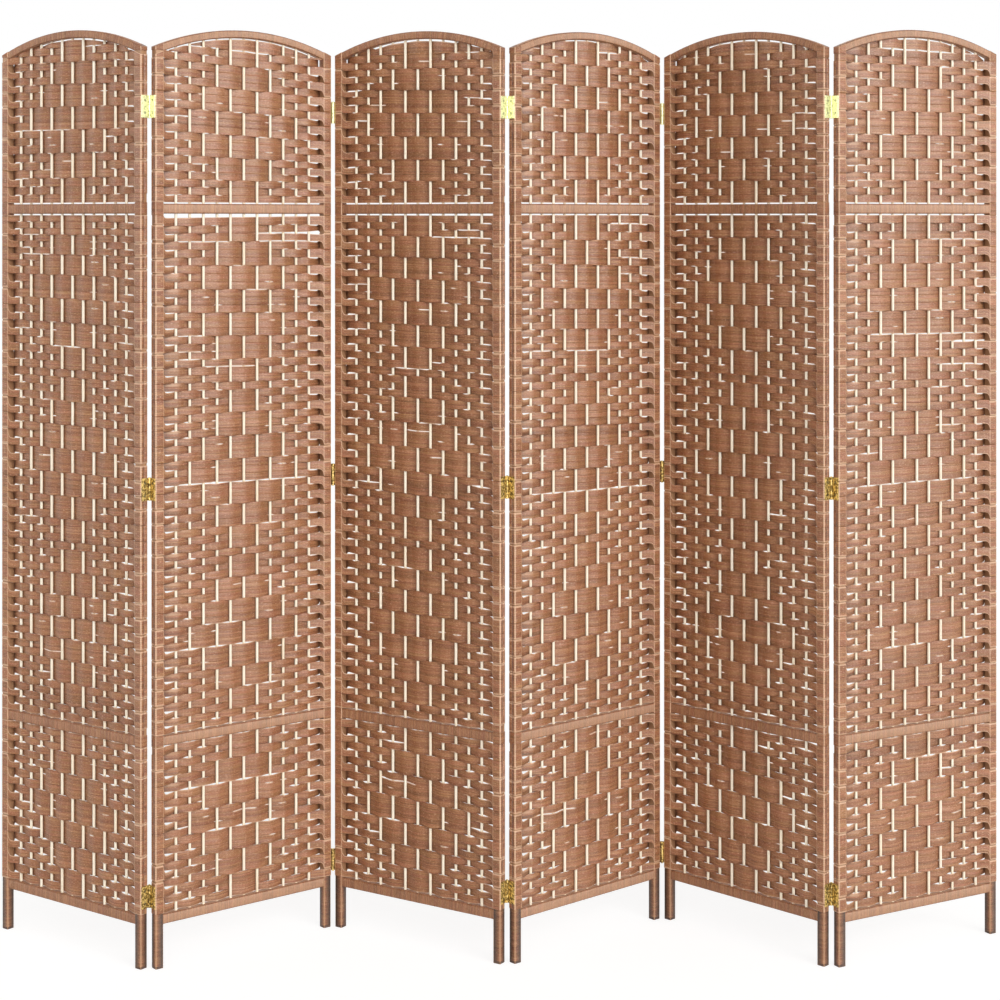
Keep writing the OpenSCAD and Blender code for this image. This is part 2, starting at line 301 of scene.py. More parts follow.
# How much higher than evenly spaced the rows of each panel lie at its first and its last rod, in equal
# steps from the section's top to its bottom, as the photograph shows them
ROW_SHIFTS = {
    1: {"low": [(0, 0), (12, 7), (5, 4), (0, 0)],
        "middle": [(0, 0), (18, 14), (12, 6), (6, 5), (-3, -3), (-9, 0), (-11, -1), (-3, 0), (0, 0)],
        "top": [(5, 3), (10, 5), (9, 8), (0, 0)]},
    2: {"low": [(0, 0), (1, -4), (3, -1), (0, 0)],
        "middle": [(-5.5, -2), (-9, -15), (-11, -18), (-14, -17), (-15, -21), (-13, -16), (-7, -14),
                   (-7, -12), (0, 0)],
        "top": [(3, -12), (2, -12), (0, -9), (0, 0)]},
    3: {"low": [(0, 0), (2, -6), (-4, -9), (0, 0)],
        "middle": [(0, -1), (11, 4), (9, 3), (11, 9), (1, -6), (0, -7), (3, -3), (-4, -2), (0, 0)],
        "top": [(-8, -11), (2, -9), (-3, -9), (0, 0)]},
    4: {"low": [(0, 0), (3, -3), (-5, -6), (0, 0)],
        "middle": [(0, 0), (-7, -19), (3, -4), (2, -9), (7, -2), (6, 2), (6, -2), (-7, -7), (0, 0)],
        "top": [(-3, -2), (7, 5), (1, 3), (0, 0)]},
    5: {"low": [(0, -1), (10, 3), (2, -2), (0, 0)],
        "middle": [(0, 0), (1, -1), (2, -1), (-8, -10), (-17, -11), (-10, -4), (-15, -12), (-14, -12),
                   (0, 0)],
        "top": [(-7, -9), (-7, -9), (-3, -5), (0, 0)]},
    6: {"low": [(0, 0), (-2, -1), (-1, 0), (0, 0)],
        "middle": [(0, 0), (-8, -7), (-8, -13), (-10, -14), (-19, -18), (-15, -13), (-13, -11), (-10, -7),
                   (0, 0)],
        "top": [(-2, -5), (-2, -2), (-5, -4), (0, 0)]},
}
# Slits that stand out in single panels: boundary counted from the top, first and last space between rods
# or posts, and height
OWN_SLITS = {
    (1, "top"): [(12, 1, 5, 1.0), (13, 9, 9, 1.2), (17, 3, 3, 1.1), (16, 5, 5, 1.0), (18, 4, 4, 1.0),
                 (18, 1, 1, 1.0)],
    (1, "middle"): [(6, 1, 3, 1.0), (58, 3, 4, 1.0), (40, 1, 2, 1.0), (3, 1, 2, 1.0), (18, 4, 6, 1.6),
                    (49, 10, 10, 1.5), (5, 1, 1, 1.4), (32, 3, 3, 1.2), (16, 1, 1, 1.2), (52, 9, 9, 1.1),
                    (53, 4, 4, 1.0)],
    (1, "low"): [(14, 1, 2, 1.4), (15, 3, 3, 1.4), (11, 1, 1, 1.0)],
    (2, "top"): [(1, 5, 7, 2.2), (1, 1, 2, 2.0), (9, 5, 5, 1.4), (16, 2, 2, 1.2), (10, 1, 1, 1.1),
                 (15, 9, 9, 1.0), (12, 7, 7, 1.0)],
    (2, "middle"): [(34, 1, 10, 1.9), (56, 1, 6, 1.6), (3, 7, 10, 1.8), (3, 1, 4, 1.5), (19, 3, 6, 1.5),
                    (62, 6, 8, 1.3), (53, 3, 5, 1.2), (40, 7, 8, 1.2), (9, 6, 7, 1.0), (18, 1, 2, 1.1),
                    (15, 1, 2, 1.1), (17, 1, 2, 1.1)],
    (2, "low"): [(6, 1, 9, 1.8), (12, 3, 8, 1.7), (20, 1, 1, 1.4), (11, 1, 1, 1.2), (16, 2, 2, 1.1)],
    (3, "top"): [(1, 10, 10, 1.8), (10, 1, 1, 1.6), (17, 3, 3, 1.1), (2, 6, 6, 1.0), (7, 10, 10, 1.0),
                 (8, 2, 2, 1.0)],
    (3, "middle"): [(3, 7, 10, 1.7), (2, 9, 10, 1.6), (21, 4, 6, 1.3), (36, 1, 2, 1.5), (29, 5, 6, 1.2),
                    (47, 4, 5, 1.1), (28, 6, 7, 1.0), (35, 10, 10, 1.6), (13, 6, 6, 1.4), (20, 7, 7, 1.4),
                    (10, 1, 1, 1.3), (16, 1, 1, 1.3), (32, 7, 7, 1.3)],
    (3, "low"): [(7, 3, 5, 1.4), (12, 3, 4, 1.2), (2, 3, 4, 1.2), (14, 2, 2, 1.4), (12, 1, 1, 1.3),
                 (11, 10, 10, 1.2)],
    (4, "top"): [(1, 7, 8, 2.0), (8, 7, 7, 1.3), (1, 1, 1, 1.2)],
    (4, "middle"): [(37, 1, 10, 1.8), (18, 4, 7, 1.6), (1, 8, 10, 2.0), (18, 1, 2, 1.7), (5, 9, 10, 1.5),
                    (44, 1, 2, 1.2), (59, 3, 4, 1.2), (7, 9, 9, 1.1), (53, 3, 3, 1.1), (60, 1, 1, 1.1),
                    (38, 1, 1, 1.1), (57, 1, 1, 1.0)],
    (4, "low"): [(10, 1, 4, 1.8), (14, 2, 2, 1.3)],
    (5, "top"): [(11, 7, 7, 1.4), (11, 10, 10, 1.2), (9, 10, 10, 1.0)],
    (5, "middle"): [(66, 6, 8, 1.4), (53, 8, 8, 1.2), (58, 9, 9, 1.2), (6, 8, 8, 1.0), (39, 8, 8, 1.0),
                    (53, 4, 4, 1.0)],
    (5, "low"): [(1, 10, 10, 1.7), (11, 10, 10, 1.5), (8, 9, 9, 1.4), (2, 7, 7, 1.4), (12, 7, 7, 1.4),
                 (12, 5, 5, 1.1)],
    (6, "top"): [(1, 3, 8, 2.5), (3, 8, 8, 2.0), (8, 1, 1, 1.6), (12, 3, 3, 1.6), (1, 10, 10, 1.3),
                 (16, 1, 1, 1.3), (18, 1, 1, 1.3)],
    (6, "middle"): [(34, 1, 10, 1.5), (15, 2, 10, 1.9), (3, 7, 10, 1.5), (56, 3, 6, 1.3), (19, 8, 10, 2.2),
                    (56, 8, 10, 1.3), (16, 9, 10, 2.4), (22, 7, 8, 1.5), (30, 1, 2, 1.2), (27, 8, 9, 1.2),
                    (27, 1, 1, 1.6), (22, 10, 10, 1.4)],
    (6, "low"): [(3, 5, 10, 1.5), (6, 3, 5, 1.4), (5, 8, 8, 1.3)],
}
# Wider slits that open along the panel: boundary, from and to along it, and the height at both ends
WEDGES = {
    (2, "middle"): [(2, 230, 384, 1.0, 4.0), (2, 335, 384, 0.0, 5.0)],
    (6, "middle"): [(16, 250, 384, 0.8, 2.6)],
}
# Slits under each panel's arch: from and to along the panel, and the height at both ends
ARCH_SLITS = {
    1: [(106, 294, 2.8, 2.8), (352, 380, 4.5, 0.5)],
    2: [(26, 372, 2.2, 2.4)],
    3: [(88, 292, 3.6, 3.8), (324, 346, 2.6, 1.2)],
    4: [(136, 236, 2.0, 2.2), (350, 380, 4.5, 0.5)],
    5: [(104, 322, 2.8, 3.0), (28, 44, 2.0, 2.0), (340, 358, 2.6, 1.0)],
    6: [(150, 304, 2.9, 2.9), (326, 380, 1.0, 4.5)],
}
# How often a row boundary has a loose place between the rods: the panels on the light side have more
LOOSE = {1: 0.03, 2: 0.05, 3: 0.03, 4: 0.05, 5: 0.04, 6: 0.05}
# Which rods have short slits beside them, all but those between these two, at what share of the rows, and
# how high
SPUR_RODS = (3, 7)
SPUR_SHARE = 0.24
SPUR_SLITS = (0.9, 1.6)
# Beside a post, between the two rows of one turn: the share of them that stand open, the slit's height
# there and elsewhere, and how far it sags
TURN_OPEN_SHARE = 0.80
TURN_SLITS = (2.0, 3.4)
TURN_CLOSED = (0.2, 1.0)
TURN_SAG = (0.3, 1.2)
# Height of a loose place, the share of them that reach over two spaces, and how far they and a panel's own
# slits keep from the rods
LOOSE_SLITS = (0.5, 1.3)
LOOSE_LONG_SHARE = 0.3
OFF_ROD = 3
# Height of a panel's own slit at its right end, as a share of that at its left one
OWN_SLIT_TAPER = 0.8
# How far two rows lap over each other where one passes in front of a rod and the other behind it, and
# the opening at which they no longer do
LAP = 1.5
LAP_END = 0.6
# How much the rows wave, and the gap between two of them and how much it varies
ROW_WAVE = 0.5
ROW_GAP = -0.12
ROW_GAP_WAVE = 0.18
# On the posts, between two turns: height of the seam as a mean and a spread, its least height, the height
# from which its edges are pale, and how far it lies from the row's own height
SEAM = (0.7, 1.3)
SEAM_LEAST = 0.05
SEAM_PALE = 0.5
SEAM_SHIFT = 1.2
FIELD_END = 0.3
# Half of the longest row under the arch, and the least height of a row there
ARCH_ROW_REACH = 178
ARCH_ROW_LEAST = 0.4


def slit_profile(u, low, high, from_h, to_h, soft=5.0):
    """Height of one slit along a panel, with ends that close over a length of soft"""
    t = np.clip((u - low) / (high - low), 0, 1)
    inside = np.clip(np.minimum(u - low, high - u) / soft + 0.5, 0, 1)
    return inside * (from_h + (to_h - from_h) * t)


def turns_at_post(first, odd, rows):
    """Pairs of rows that make one turn round a post, and the rows left over"""
    turns = [(a, a + 1) for a in range(first + (first + odd) % 2, rows - 1, 2)]
    return turns, [(k, k) for k in range(first, rows) if not any(k in t for t in turns)]


def row_lines(n, label):
    """Heights of the boundaries between the rows of a section at each station"""
    s = SECTIONS[label]
    st = STATIONS
    rows = s["rows"]
    shifts = np.array(ROW_SHIFTS[n][label], float)
    at = np.arange(rows + 1)
    left, right = (np.interp(at, np.linspace(0, rows, len(shifts)), shifts[:, k]) for k in (0, 1))
    first, last = st.u[st.rod_at[0]], st.u[st.rod_at[-1]]
    t = np.clip((st.u - first) / (last - first), -0.1, 1.1)
    even = s["top"] - (s["top"] - s["bottom"]) / rows * at
    return even[:, None] + left[:, None] * (1 - t) + right[:, None] * t


def loosen(n, label, rng, line, opening):
    """Slits between rows: at the posts between the two rows of a turn, at random, and a panel's own ones"""
    st = STATIONS
    rows = len(line) - 1
    first = SECTIONS[label]["first_wrap"]
    for near, odd in ((st.near_left, 1), (st.near_right, 0)):
        for _, b in turns_at_post(first, odd, rows)[0]:
            slit = rng.uniform(*(TURN_SLITS if rng.random() < TURN_OPEN_SHARE else TURN_CLOSED))
            line[b] -= (rng.uniform(*TURN_SAG) + slit / 2) * near
            opening[b] += slit * near
    for b in range(1, rows):
        for _ in range(rng.poisson(LOOSE[n])):
            at = int(rng.integers(0, RODS - 1))
            last = min(at + 1 + int(rng.random() < LOOSE_LONG_SHARE), RODS - 1)
            low, high = st.u[st.rod_at[at]] + OFF_ROD, st.u[st.rod_at[last]] - OFF_ROD
            opening[b] += slit_profile(st.u, low, high, *rng.uniform(*LOOSE_SLITS, 2))
    # Short slits beside the outer rods, where the bands on both sides of one spring apart
    for i, at in enumerate(st.rod_at):
        if SPUR_RODS[0] < i < SPUR_RODS[1]:
            continue
        for b in np.nonzero(rng.random(rows + 1) < SPUR_SHARE)[0]:
            if 0 < b < rows:
                beside = at + (1 if rng.random() < 0.5 else -1)
                spur = rng.uniform(*SPUR_SLITS)
                opening[b, [at, beside]] = np.maximum(opening[b, [at, beside]], spur)
    for b, first_space, last_space, height in OWN_SLITS[(n, label)]:
        low, high = POST_T + ROD_PITCH * np.array([first_space, last_space + 1])
        opening[b] += slit_profile(st.u, low + OFF_ROD, high - OFF_ROD, height, OWN_SLIT_TAPER * height)
    for b, low, high, from_h, to_h in WEDGES.get((n, label), []):
        opening[b] += slit_profile(st.u, low, high, from_h, to_h)


def row_edges(n, label, rng, depth):
    """Upper and lower edge of each row of a section at each station, how open the places above and below
    them are, and the stations that each row spans"""
    s = SECTIONS[label]
    st = STATIONS
    rows = s["rows"]
    line = row_lines(n, label)
    line[1:-1] += ROW_WAVE * smooth_noise(rng, (rows - 1, st.count), knots=7)
    opening = np.zeros((rows + 1, st.count))
    loosen(n, label, rng, line, opening)
    gap = ROW_GAP_WAVE * smooth_noise(rng, (rows + 1, st.count), knots=12) + ROW_GAP + opening
    apart = np.clip(np.abs(np.diff(depth, axis=0)) / (2 * (ROD_R + STRAND_HALF)), 0, 1)
    gap[1:-1] -= LAP * apart * (1 - np.clip(opening[1:-1] / LAP_END, 0, 1))
    top = line[:-1] - gap[:-1] / 2
    bottom = line[1:] + gap[1:] / 2
    above, below = opening[:-1].copy(), opening[1:].copy()
    above[0] = below[-1] = 1.0
    # At a post two rows make one turn, one passing in front and one behind, and fan out to cover it
    for fan, odd in ((st.fan_left, 1), (st.fan_right, 0)):
        seam = np.maximum(rng.normal(*SEAM, rows + 1), SEAM_LEAST)
        shift = rng.normal(0, SEAM_SHIFT, rows + 1)
        turns, alone = turns_at_post(s["first_wrap"], odd, rows)
        for a, b in turns + alone:
            upper, lower = s["top"] - FIELD_END, s["bottom"] + FIELD_END
            if a > 0:
                upper = line[a] + shift[a] - seam[a] / 2
            if b < rows - 1:
                lower = line[b + 1] + shift[b + 1] + seam[b + 1] / 2
            for k in {a, b}:
                top[k] += (upper - top[k]) * fan
                bottom[k] += (lower - bottom[k]) * fan
                above[k] += ((seam[a] > SEAM_PALE) - above[k]) * fan
                below[k] += ((seam[b + 1] > SEAM_PALE) - below[k]) * fan
    spans = [(0, st.count)] * rows
    if label == "top":
        middle = np.abs(st.u - PANEL_W / 2)
        room = np.full(st.count, -1.0)
        for low, high, from_h, to_h in ARCH_SLITS[n]:
            room = np.maximum(room, slit_profile(st.u, low, high, from_h + 1, to_h + 1) - 1)
        ceiling = arch_curve(st.u, WOUND_ARCH[0]) - room
        top[0] = ceiling
        top = np.minimum(top, ceiling)
        bottom = np.minimum(bottom, ceiling - ARCH_ROW_LEAST)
        for k in range(s["first_wrap"]):
            inside = np.nonzero((middle < ARCH_ROW_REACH) & (line[k + 1] < ceiling - 1))[0]
            spans[k] = (inside[0], inside[-1] + 1)
    return top, bottom, above, below, spans


def band_wear_and_shade(sides_v, above, below, steps):
    """Wear and painted light round each cross-section of each row: pale at the bent corners, which carry a
    painted highlight too, and along open edges, as frayed paper and painted light from the slit; and painted
    shade where the band's inner face lies against a rod or in the pocket beside a post"""
    st = STATIONS
    rows = len(sides_v)
    wear_and_shading = np.repeat(np.broadcast_to(st.wear_and_light, (rows, st.count))[:, :, None], 2 * steps, 2)
    upper, lower = ([0, -1], [1, -2]), ([steps - 1, steps], [steps - 2, steps + 1])
    for opening, (edge, next_in) in ((above, upper), (below, lower)):
        open_here = np.clip(opening / EDGE_OPEN, 0, 1)[:, :, None]
        wear_and_shading[:, :, edge] = np.maximum(wear_and_shading[:, :, edge], EDGE_WEAR_AND_LIGHT[0] * open_here)
        wear_and_shading[:, :, next_in] = np.maximum(wear_and_shading[:, :, next_in], EDGE_WEAR_AND_LIGHT[1] * open_here)
    # Painted shade on the inner faces that lie against a rod or in the pocket beside a post
    behind = np.clip(sides_v / (ROD_R + STRAND_HALF), -1, 1) * st.tucked
    pocket = np.clip((np.abs(sides_v) - POCKET_FROM) / POCKET_GROWS, 0, 1) * np.sign(sides_v)
    for faces, sign in ((slice(1, steps - 1), 1), (slice(steps + 1, -1), -1)):
        wear_and_shading[:, :, faces] -= TUCK_SHADE * np.maximum(sign * behind, 0)[:, :, None]
        wear_and_shading[:, :, faces] -= POCKET_SHADE * np.maximum(sign * pocket, 0)[:, :, None]
    return wear_and_shading


def weave_section(n, label):
    """One woven section of a panel: every row a band of strands with the section's own cross-sections.
    The tall middle section is made in two pieces"""
    rng = np.random.default_rng([SEED, n, list(SECTIONS).index(label)])
    st = STATIONS
    rows = SECTIONS[label]["rows"]
    v = st.depths(row_sides(rows, SECTIONS[label]["diamonds"], label))
    top, bottom, above, below, spans = row_edges(n, label, rng, v)
    u = np.broadcast_to(st.u, v.shape)
    du, dv = np.gradient(u, axis=1), np.gradient(v, axis=1)
    length = np.hypot(du, dv)
    out_u, out_v = dv / length, -du / length
    steps = 2 * STRANDS + 1
    share = np.arange(steps) / (steps - 1)
    z = top[:, :, None] + (bottom - top)[:, :, None] * share
    loose = smooth_noise(rng, (rows, steps, st.count), knots=9).transpose(0, 2, 1)
    loose[:, :, [0, -1]] = 0
    z += STRAND_WAVE * loose * (top - bottom)[:, :, None] / STRANDS
    half = np.where(np.arange(steps) % 2, STRAND_HALF, VALLEY_HALF)
    half[[0, -1]] = EDGE_HALF
    thinner = np.abs(smooth_noise(rng, (rows, steps, st.count), knots=14)).transpose(0, 2, 1)
    half = half * (1 - STRAND_THINNER * thinner)
    side = lambda sign: (u[:, :, None] + sign * half * out_u[:, :, None],
                         v[:, :, None] + sign * half * out_v[:, :, None], z)
    front, back = side(1), side(-1)
    ring = [np.concatenate([f, b[:, :, ::-1]], 2) for f, b in zip(front, back)]
    points = in_world(n, *ring)
    around = 2 * steps
    step_u, step_v = (np.diff(way, axis=1, prepend=way[:, :1]) for way in (u, v))
    distance = np.cumsum(np.hypot(step_u, step_v), 1) + rng.uniform(0, BAND_START, (rows, 1))
    along = np.broadcast_to(distance[:, :, None], (rows, st.count, around))
    strand = np.arange(steps) / 2 + STRANDS * np.arange(rows)[:, None] + 1000 * n
    strand = np.concatenate([strand, strand[:, ::-1]], 1)
    across = np.broadcast_to(strand[:, None, :], (rows, st.count, around))
    index = np.arange(rows * st.count * around).reshape(rows, st.count, around)
    wear_and_light = band_wear_and_shade(v, above, below, steps)
    # Painted highlight and shade on the turns of the even panels, which face the key light
    if n % 2 == 0:
        turn_light = np.interp(share, TURN_LIGHT_AT, TURN_LIGHT)
        turn_light = np.concatenate([turn_light, turn_light[::-1]])
        wear_and_light += rng.uniform(*TURN_LIGHT_SPREAD, (rows, 1, 1)) * st.turn_light[:, None] * turn_light
    pieces = []
    cuts = (0, rows // 2, rows) if label == "middle" else (0, rows)
    for part, (low, high) in enumerate(zip(cuts, cuts[1:])):
        quads = []
        for k in range(low, high):
            first, last = spans[k]
            rings = index[k, first:last]
            after = np.roll(rings, -1, 1)
            quads.append(np.stack([rings[:-1], after[:-1], after[1:], rings[1:]], -1).reshape(-1, 4))
            for end, turn in ((rings[0], -1), (rings[-1], 1)):
                near, far = end[:steps], end[:steps - 1:-1]
                cap = np.stack([near[:-1], near[1:], far[1:], far[:-1]], -1)
                quads.append(cap[:, ::turn])
        used, quads = np.unique(np.concatenate(quads), return_inverse=True)
        name = f"panel_{n}_weave_{label}" + (f"_{part + 1}" if len(cuts) > 2 else "")
        pieces.append(make_mesh(name, points[used], quads.reshape(-1, 4), along.reshape(-1)[used],
                                across.reshape(-1)[used], wear_and_light.reshape(-1)[used]))
    return pieces


# ---- The windings of the posts, rails and arch ----

# Height of one turn on the legs, on the posts' tops and elsewhere, and how round the windings' edges are
LEG_PITCH = 2.9
TOP_PITCH = 2.3
BAR_PITCH = 2.6
LEG_ROUND = 4.2
BAR_ROUND = 2.6
# The legs' winding is pressed in by this much, so that it sits tighter than the woven turns
LEG_TIGHTER = 0.2
# How the winding of the rails and the arch is cut up, how deep its turns are parted, and how uneven they are
BAR_LOOK = dict(rings_each=3, depth=0.5, wobble=0.15)
# Power that makes a turn round between two valleys, how far a ring leans, and how far the rope's pattern
# moves on from one turn to the next
TURN_ROUND = 0.6
RING_LEAN = 0.12
TURN_MOVES = 37
# How far from the panel's side the winding of the rails and of the arch starts, and how far the winding of
# the posts' tops reaches into the arch
RAIL_INSET = POST_T - ROPE_T + 0.05
ARCH_INSET = POST_T - 1.5
TOP_REACH = 0.5


def any_strand(rng):
    """Number of a winding's first turn, from which the rope's tones follow"""
    return int(rng.integers(0, 800))


def round_outline(half_a, half_b, r, corners=(1.0, 1.0, 1.0, 1.0), shoulders=(0.0, 0.0, 0.0, 0.0), steps=4):
    """Points and outward directions round a rectangle with round corners, and the share of the corners' value
    that each point takes, pale as wear and a painted highlight or dark as painted shade: on the corners
    themselves and on their shoulders, where the flat faces begin"""
    angles = np.concatenate([np.linspace(q, q + 90, steps) for q in (0, 90, 180, 270)])
    out = np.stack([np.cos(np.radians(angles)), np.sin(np.radians(angles))], 1)
    signs = np.repeat(np.array([[1, 1], [-1, 1], [-1, -1], [1, -1]]), steps, 0)
    corner_share = np.concatenate([[s] + [c] * (steps - 2) + [s] for c, s in zip(corners, shoulders)])
    return signs * np.array([half_a - r, half_b - r]) + r * out, out, corner_share


def winding(rng, length, pitch, outline, place, rings_each=4, depth=0.35, wobble=0.0, first_strand=0,
            foot=0, wear_and_shading=1.0, face=0.0):
    """Rope wound round a bar. place(distance, a, b) turns a distance along the bar and an offset across
    it into u, v and z. foot is how many rings at the start are darker. The two arguments after it give the
    values of the corners and of the flat faces, wear and painted light: pale values paint a highlight, dark
    ones paint shade. Returns points, quads and the three values that the rope's material reads"""
    shape, out, corner_share = outline
    strands = max(2, round(length / pitch))
    count = strands * rings_each + 1
    phase = np.arange(count) / rings_each
    at = phase * length / strands
    bulge = -depth * (1 - np.abs(np.sin(math.pi * phase)) ** TURN_ROUND)
    size = 1 + np.repeat(rng.uniform(-1, 0, strands + 1), rings_each)[:count] * wobble
    tilt = rng.uniform(-RING_LEAN, RING_LEAN, (2, strands + 1)).repeat(rings_each, 1)[:, :count]
    a = shape[None, :, 0] + (bulge * size)[:, None] * out[None, :, 0] + (size - 1)[:, None] * out[None, :, 0]
    b = shape[None, :, 1] + (bulge * size)[:, None] * out[None, :, 1] + (size - 1)[:, None] * out[None, :, 1]
    lean = (tilt[0][:, None] * out[None, :, 0] + tilt[1][:, None] * out[None, :, 1])
    lean[[0, -1]] = 0
    u, v, z = place(at[:, None] + lean, a, b)
    around = len(shape)
    index = np.arange(count * around).reshape(count, around)
    after = np.roll(index, -1, 1)
    quads = np.stack([index[:-1], index[1:], after[1:], after[:-1]], -1).reshape(-1, 4)
    half = around // 2
    caps = []
    for end, turn in ((index[0], 1), (index[-1], -1)):
        near, far = end[:half], end[half:][::-1]
        caps.append(np.stack([near[:-1], near[1:], far[1:], far[:-1]], -1)[:, ::turn])
    run = np.concatenate([[0], np.cumsum(np.linalg.norm(np.diff(shape, axis=0), axis=1))])
    along = np.broadcast_to(run, (count, around)) + TURN_MOVES * phase[:, None]
    across = np.broadcast_to((phase + first_strand)[:, None], (count, around))
    wear_and_light = np.broadcast_to(face + corner_share * (wear_and_shading - face), (count, around)).copy()
    wear_and_light[:foot] = FOOT_DARKER
    return (u, v, z), np.concatenate([quads] + caps), along, across, wear_and_light


def join_windings(n, name, parts):
    """One object from several windings of panel n"""
    points, quads, along, across, wear_and_light = [], [], [], [], []
    base = 0
    for (u, v, z), q, g, s, w in parts:
        u, v, z = np.broadcast_arrays(u, v, z)
        points.append(in_world(n, u, v, z))
        quads.append(q + base)
        along.append(g.reshape(-1))
        across.append(s.reshape(-1) + 1000 * n)
        wear_and_light.append(w.reshape(-1))
        base += u.size
    return make_mesh(name, np.concatenate(points), np.concatenate(quads),
                     np.concatenate(along), np.concatenate(across), np.concatenate(wear_and_light))


def post_windings(n, rng):
    """Winding of both posts wherever no woven row turns round them: the legs, beside the rails, the tops"""
    parts = []
    low, middle, top = (SECTIONS[k] for k in ("low", "middle", "top"))
    last_turns = row_lines(n, "top")[top["first_wrap"]]
    leg_half = POST_T / 2 - LEG_TIGHTER
    # The leg's outline carries the painted highlight and shade of its corners
    leg_outline = round_outline(leg_half, leg_half, LEG_ROUND, LEG_CORNERS[n % 2], LEG_SHOULDERS[n % 2])
    outline = round_outline(POST_T / 2, POST_T / 2, CORE_ROUND + ROPE_T)
    leg = dict(pitch=LEG_PITCH, outline=leg_outline, wobble=0.2, foot=FOOT_RINGS, wear_and_shading=LEG_HIGHLIGHT, face=LEG_FACE)
    beside_rail = dict(pitch=BAR_PITCH, outline=outline, wobble=0.1)
    spans = [(FOOT_GAP, low["bottom"] - FIELD_END, leg),
             (low["top"] + FIELD_END, middle["bottom"] - FIELD_END, beside_rail),
             (middle["top"] + FIELD_END, top["bottom"] - FIELD_END, beside_rail)]
    for centre, last_turn in ((POST_T / 2, last_turns[0]), (PANEL_W - POST_T / 2, last_turns[-1])):
        for start, end, look in spans:
            place = lambda d, a, b, start=start: (centre + a, b, start + d)
            parts.append(winding(rng, end - start, place=place, first_strand=any_strand(rng), **look))
        tall = POST_TOP - last_turn

        def to_top(d, a, b, centre=centre, last_turn=last_turn, tall=tall):
            u = centre + a
            return u, b, last_turn + (arch_curve(u, TOP_REACH) - last_turn) * d / tall

        parts.append(winding(rng, tall, TOP_PITCH, outline, to_top, first_strand=any_strand(rng)))
    return join_windings(n, f"panel_{n}_post_windings", parts)


def rail_windings(n, rng):
    """Winding of the three rails, one above the other"""
    parts = []
    outline = round_outline(WOUND_RAIL[0] / 2, WOUND_RAIL[1] / 2, BAR_ROUND)
    for z in RAIL_HEIGHTS:
        place = lambda d, a, b, z=z: (RAIL_INSET + d, -b, z + a)
        # A painted highlight on the rails' faces and painted shade on their corners
        parts.append(winding(rng, PANEL_W - 2 * RAIL_INSET, BAR_PITCH, outline, place, wear_and_shading=RAIL_CORNER_SHADE,
                             face=BAR_FACE_HIGHLIGHT[n % 2], first_strand=any_strand(rng), **BAR_LOOK))
    return join_windings(n, f"panel_{n}_rail_windings", parts)


def arch_winding(n, rng):
    """Winding of the arch, along its middle line from post to post"""
    middle_r = ARCH_R - WOUND_ARCH[0] / 2
    reach = math.asin((PANEL_W / 2 - ARCH_INSET) / (ARCH_R - WOUND_ARCH[0]))
    outline = round_outline(WOUND_ARCH[0] / 2, WOUND_ARCH[1] / 2, BAR_ROUND)

    def place(d, a, b):
        angle = -reach + d / middle_r
        r = middle_r + a
        return PANEL_W / 2 + r * np.sin(angle), -b, ARCH_Z + r * np.cos(angle)

    # A painted highlight on the arch's faces and painted shade on its corners
    part = winding(rng, 2 * reach * middle_r, BAR_PITCH, outline, place, wear_and_shading=ARCH_CORNER_SHADE,
                   face=BAR_FACE_HIGHLIGHT[n % 2], first_strand=any_strand(rng), **BAR_LOOK)
    return join_windings(n, f"panel_{n}_arch_winding", [part])


# ---- Materials ----

def new_material(name):
    material = bpy.data.materials.new(name)
    material.use_nodes = True
    tree = material.node_tree
    shader = tree.nodes["Principled BSDF"]
    return material, tree, shader


def add(tree, kind, inputs=None, **settings):
    """A node of that kind, with settings on it and inputs linked or given by name or number"""
    made = tree.nodes.new(kind)
    for key, value in settings.items():
        setattr(made, key, value)
    for key, value in (inputs or {}).items():
        if isinstance(value, bpy.types.NodeSocket):
            tree.links.new(value, made.inputs[key])
        else:
            made.inputs[key].default_value = value
    return made


def maths(tree, operation, a, b=0.0, c=0.0):
    return add(tree, "ShaderNodeMath", {0: a, 1: b, 2: c}, operation=operation).outputs[0]


def mix_colours(tree, factor, a, b, **settings):
    return add(tree, "ShaderNodeMix", {0: factor, 6: a, 7: b}, data_type="RGBA", **settings).outputs[2]


def ramp(tree, factor, stops):
    made = add(tree, "ShaderNodeValToRGB", {0: factor})
    elements = made.color_ramp.elements
    while len(elements) < len(stops):
        elements.new(0.5)
    for element, (place, colour) in zip(elements, stops):
        element.position = place
        element.color = (*colour, 1)
    return made.outputs[0]


# Colour of the painted glints on the fibres
GLINT_COLOUR = (0.78, 0.47, 0.31, 1)
# Colour of frayed paper and of painted highlights
FRAYED_AND_HIGHLIGHT_COLOUR = (0.80, 0.52, 0.34, 1)
# Stops of the wood's colours, and the brass's dark and light low down and at the top, where it is painted
# paler as a reflection of the bright surroundings
PALE_WOOD = [(0.30, (0.88, 0.72, 0.50)), (0.48, (0.95, 0.86, 0.69)), (0.66, (0.97, 0.92, 0.79))]
STAINED_WOOD = [(0.30, (0.30, 0.14, 0.06)), (0.50, (0.42, 0.22, 0.11)), (0.66, (0.55, 0.32, 0.17))]
HINGE_BRASS = ((0.16, 0.10, 0.025), (0.78, 0.58, 0.21), (0.44, 0.46, 0.22), (0.80, 0.80, 0.50))
SCREW_BRASS = ((0.10, 0.07, 0.03), (0.34, 0.28, 0.14), (0.26, 0.27, 0.17), (0.42, 0.42, 0.27))


